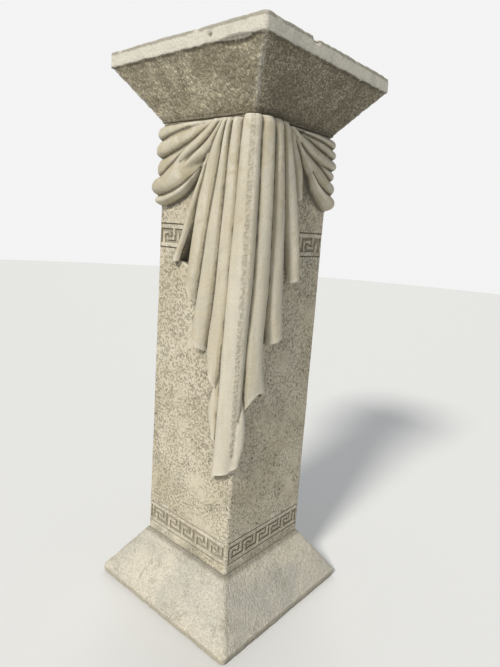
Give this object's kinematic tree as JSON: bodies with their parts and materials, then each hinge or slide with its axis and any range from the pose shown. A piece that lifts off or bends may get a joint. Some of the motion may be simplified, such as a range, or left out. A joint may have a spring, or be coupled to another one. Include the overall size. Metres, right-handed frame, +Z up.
{
  "type": "draped pedestal column",
  "caption": "Square cast-stone pedestal column with flared base and cap, key-pattern bands and a draped cloth falling over one corner.",
  "frame": {"origin": "centre of the base's underside", "axes": "+Z up along the column; faces square to X and Y; the cloth falls over the corner towards +X and -Y"},
  "size_m": [0.35, 0.35, 1],
  "materials": {
    "base_stone": "sandy cast stone, worn smooth",
    "shaft_stone": "pitted cast stone with smoother cloth",
    "cap_stone": "coarse brushed cast stone, dirty"
  },
  "bodies": {
    "root": {"base": "base_stone", "shaft": "shaft_stone", "cap": "cap_stone"}
  },
  "joints": []
}
